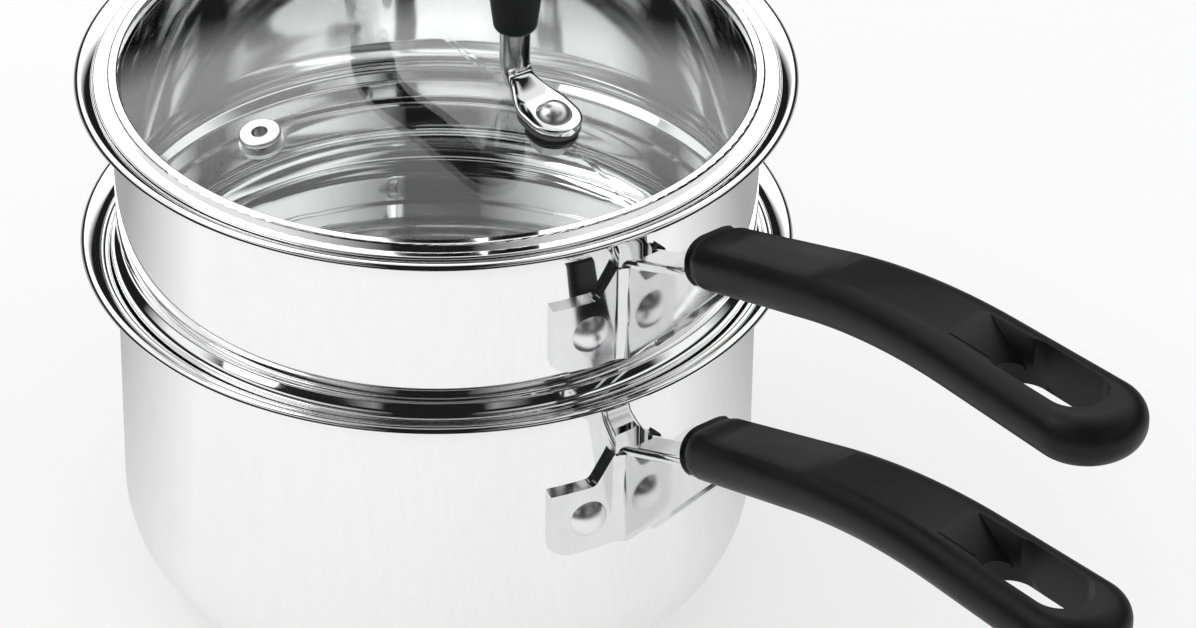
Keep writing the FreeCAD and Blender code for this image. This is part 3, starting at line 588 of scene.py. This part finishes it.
def loop_half():
    """Rings from one foot's tip to the middle of the loop's top."""
    tilt = math.asin(FOOT_X / DOME_R)
    glass_z = GLASS_APEX - DOME_R + math.sqrt(DOME_R ** 2 - FOOT_X ** 2)
    along = Vector((math.cos(tilt), -math.sin(tilt)))
    up = Vector((math.sin(tilt), math.cos(tilt)))
    seat = Vector((FOOT_X, glass_z)) + up * PAD_THICKNESS
    path = loop_path(seat, along)
    rings = []
    for i, point in enumerate(path):
        way = direction_at(path, i)
        rings.append(rod_section(point, (way.y, -way.x), *rod_size(point, seat, along)))
    return rings


def handle_loop():
    """The lid's handle: one skin over both halves, closed at the feet."""
    half = loop_half()
    mirrored = [[(-x, y, z) for x, y, z in ring] for ring in reversed(half[:-1])]
    verts = [(x * MM, y * MM, z * MM) for ring in half + mirrored for x, y, z in ring]
    rings = [range(k, k + ROD_SEGMENTS) for k in range(0, len(verts), ROD_SEGMENTS)]
    faces = []
    for low, high in zip(rings, rings[1:]):
        faces += band(low, high)
    faces += [tuple(reversed(rings[0])), tuple(rings[-1])]
    return smoothed(mesh_object("lid_handle_loop_skin", verts, faces), 50.0)


# Stage

def camera():
    """Looks down on the pans, with the handles to the right."""
    turn = Matrix.Rotation(CAMERA_TURN, 3, "Z")
    forward = Vector((0, math.cos(CAMERA_ELEVATION), -math.sin(CAMERA_ELEVATION)))
    level = Vector((1, 0, 0))
    upright = level.cross(forward)
    right = level * math.cos(CAMERA_ROLL) + upright * math.sin(CAMERA_ROLL)
    up = upright * math.cos(CAMERA_ROLL) - level * math.sin(CAMERA_ROLL)
    lip = Vector((0, 0, SAUCEPAN_LIP * MM))
    place = turn @ (CAMERA_AIM - forward * CAMERA_DISTANCE) + lip
    axes = Matrix((turn @ right, turn @ up, turn @ -forward)).transposed()
    data = bpy.data.cameras.new("camera")
    data.lens = LENS
    data.sensor_width = 36.0
    data.clip_start = 0.05
    data.clip_end = 20.0
    obj = link(bpy.data.objects.new("camera", data))
    obj.matrix_world = Matrix.Translation(place) @ axes.to_4x4()
    bpy.context.scene.camera = obj


def table():
    """White table; reflections see it darken behind the pans."""
    far = TABLE_HALF
    corners = [(-far, -far, 0), (far, -far, 0), (far, far, 0), (-far, far, 0)]
    obj = mesh_object("table", corners, [(0, 1, 2, 3)])
    s = material("table_look")
    color = s.ramp(s.noise(s.position(), 3.0, 2.0), [(0.0, gray(0.50)), (1.0, gray(0.52))])
    behind = s.along(s.position(), -CAMERA_SIDE)
    dark = s.product(s.glossy_ray(), s.spread(behind, 0.0, 0.64, -0.045, 0.13))
    shown = s.mix(dark, color, gray(0.05))
    dress(obj, s.surface({
        "Base Color": shown,
        "Roughness": 0.9,
        "Specular IOR Level": 0.0,
        "Emission Color": shown,
        "Emission Strength": 0.88,
    }))


def room_glow(s):
    """Brightness of the room that reflections see: dark parts and a bright backdrop."""
    direction = s.node("ShaderNodeTexCoord").outputs["Generated"]
    height = s.part_of(direction, "Z")
    facing = s.along(direction, CAMERA_SIDE)
    across = s.calc("ABSOLUTE", s.along(direction, Vector((CAMERA_SIDE.y, -CAMERA_SIDE.x, 0))))
    dark_parts = [
        s.fall(height, 0.38, 0.50),
        s.product(s.rise(height, 0.60, 0.66), s.fall(height, 0.84, 0.92), s.rise(facing, -0.20, 0.0)),
        s.product(s.rise(facing, 0.12, 0.34), s.fall(across, 0.18, 0.70), s.fall(height, 0.72, 0.86)),
        s.product(s.fall(across, 0.20, 0.36), s.rise(facing, -0.12, 0.04)),
    ]
    dark = dark_parts[0]
    for part in dark_parts[1:]:
        dark = s.calc("MAXIMUM", dark, part)
    backdrop = s.product(
        s.rise(height, 0.42, 0.55), s.fall(height, 0.72, 0.85), s.fall(facing, -0.75, -0.45),
    )
    return s.product(
        s.spread(dark, 1.0, ROOM_DARK, 0.0, 1.0),
        s.spread(backdrop, 1.0, BACKDROP_GAIN, 0.0, 1.0),
    )


def world():
    """Even white studio dome; reflections see the room round the table instead."""
    studio = bpy.data.worlds.new("studio")
    bpy.context.scene.world = studio
    s = Shader(studio)
    ray = s.glossy_ray()
    strength = s.calc("ADD", s.product(ray, room_glow(s)), s.calc("SUBTRACT", 1.0, ray))
    shine = s.node("ShaderNodeBackground", {"Color": (*gray(0.97), 1), "Strength": strength})
    s.node("ShaderNodeOutputWorld", {"Surface": shine.outputs[0]})


def lamp(name, place, target, size, power):
    """Round soft lamp that looks at a target."""
    data = bpy.data.lights.new(name, "AREA")
    data.shape = "DISK"
    data.size = size
    data.energy = power
    obj = link(bpy.data.objects.new(name, data))
    obj.location = place
    obj.rotation_euler = (Vector(target) - Vector(place)).to_track_quat("-Z", "Y").to_euler()


for entry in frame["record"]["subparts"]:
    dress(nodes[entry["node"]], LOOKS[entry["material_slot"]])

for bracket in ("saucepan_bracket", "insert_bracket"):
    worn_edges(nodes[bracket])

piece(saucepan_shell(), "saucepan", "saucepan_shell", "pan_steel")
piece(insert_shell(), "insert", "insert_shell", "pan_steel")
piece(handle_loop(), "lid", "lid_handle_loop", "loop_steel")
piece(grip("saucepan_grip", SAUCEPAN_RIVET), "saucepan", "saucepan_grip", "grip_black")
piece(grip("insert_grip", INSERT_RIVET), "insert", "insert_grip", "grip_black")

camera()
table()
world()
lamp("key", (-0.6, -0.9, 1.6), (0, 0, 0.08), 0.9, 4.0)

bpy.context.scene.view_settings.view_transform = "Standard"
